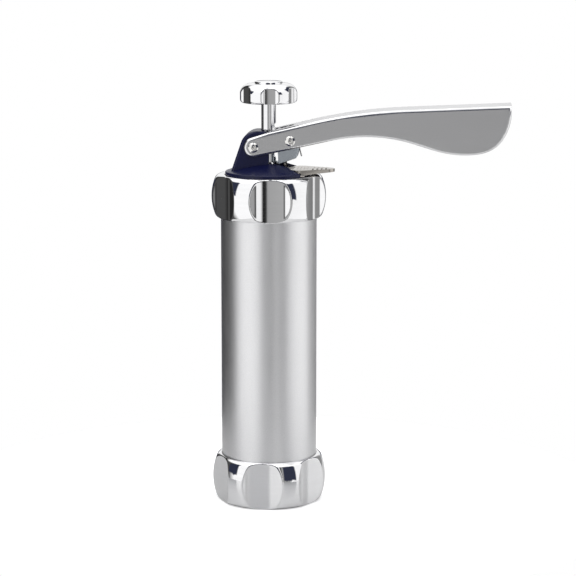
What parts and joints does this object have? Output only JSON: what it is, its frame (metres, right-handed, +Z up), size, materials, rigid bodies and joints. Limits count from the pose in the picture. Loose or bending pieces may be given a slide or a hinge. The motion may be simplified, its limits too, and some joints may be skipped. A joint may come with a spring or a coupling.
{
  "type": "cookie press",
  "caption": "Hand cookie press: a metal barrel with screw rings and a patterned disc, and a lever with a pawl that steps a notched rod and piston down.",
  "frame": {"origin": "on the barrel's axis, at the lower ring's bottom face, the mouth of the outlet, which the press stands on", "axes": "+Z up along the barrel's axis to the knob, +X towards the lever's free end, Y along the lever's pins"},
  "size_m": [0.1673, 0.0618, 0.2394],
  "materials": {
    "polished_aluminium": "drawn and polished along its length",
    "bright_aluminium": "mirror polished",
    "disc_steel": "stamped sheet",
    "navy_plastic": "moulded, satin",
    "plated_steel": "bright plated",
    "bearing_plastic": "natural",
    "lever_steel": "pressed and plated, satin",
    "zinc_steel": "zinc plated",
    "spring_steel": "bright wire",
    "plate_steel": "zinc plated",
    "rod_aluminium": "bright drawn bar",
    "piston_plastic": "moulded",
    "seal_rubber": "food grade, pale"
  },
  "bodies": {
    "barrel": {"barrel": "polished_aluminium"},
    "disc": {"die_disc": "disc_steel"},
    "lower_ring": {"lower_ring": "bright_aluminium"},
    "head": {"head": "navy_plastic", "head_base": "navy_plastic", "head_screws": "plated_steel", "rod_bush": "bearing_plastic", "pivot_bush": "bearing_plastic", "pivot_washers": "plated_steel", "pivot_pin": "plated_steel", "release_pin": "plated_steel", "release_spring": "spring_steel"},
    "upper_ring": {"upper_ring": "bright_aluminium"},
    "piston": {"piston_disc": "piston_plastic", "piston_seal": "seal_rubber"},
    "rod": {"push_rod": "rod_aluminium", "knob": "bright_aluminium", "knob_cap": "bright_aluminium", "knob_screw": "plated_steel", "piston_washer": "plated_steel", "piston_nut": "plated_steel"},
    "lever": {"lever": "lever_steel", "drive_pin": "plated_steel", "pawl_spacers": "plated_steel"},
    "pawl": {"drive_pawl": "zinc_steel", "pawl_spring": "spring_steel"},
    "release": {"release_plate": "plate_steel"}
  },
  "joints": [
    {"name": "disc_drop", "type": "slide", "parent": "barrel", "child": "disc", "axis": [0, 0, -1], "range_m": [0, 0.0075]},
    {"name": "lower_ring_turn", "type": "hinge", "parent": "disc", "child": "lower_ring", "pos_m": [0, 0, 0], "axis": [0, 0, -1], "range_deg": [0, 1081]},
    {"name": "head_lift", "type": "slide", "parent": "barrel", "child": "head", "axis": [0, 0, 1], "range_m": [0, 0.0075]},
    {"name": "upper_ring_turn", "type": "hinge", "parent": "head", "child": "upper_ring", "pos_m": [0, 0, 0.1875], "axis": [0, 0, 1], "range_deg": [0, 1081]},
    {"name": "piston_slide", "type": "slide", "parent": "head", "child": "piston", "axis": [0, 0, 1], "range_m": [0, 0.16]},
    {"name": "rod_turn", "type": "hinge", "parent": "piston", "child": "rod", "pos_m": [0, 0, 0.016], "axis": [0, 0, 1], "continuous": true},
    {"name": "lever_lift", "type": "hinge", "parent": "head", "child": "lever", "pos_m": [-0.0075, 0, 0.2034], "axis": [0, -1, 0], "range_deg": [0, 20]},
    {"name": "pawl_swing", "type": "hinge", "parent": "lever", "child": "pawl", "pos_m": [0.013, 0, 0.2072], "axis": [0, 1, 0], "range_deg": [0, 10]},
    {"name": "release_press", "type": "hinge", "parent": "head", "child": "release", "pos_m": [0.0185, 0, 0.1884], "axis": [0, 1, 0], "range_deg": [0, 5], "stiffness_Nm_per_rad": 0.05, "springref_deg": -5.73}
  ],
  "couplings": [
    {"joint": "lower_ring_turn", "follows": "disc_drop", "rad_per_m": 2513.3},
    {"joint": "upper_ring_turn", "follows": "head_lift", "rad_per_m": 2513.3},
    {"joint": "pawl_swing", "follows": "lever_lift", "ratio": 0.491}
  ]
}
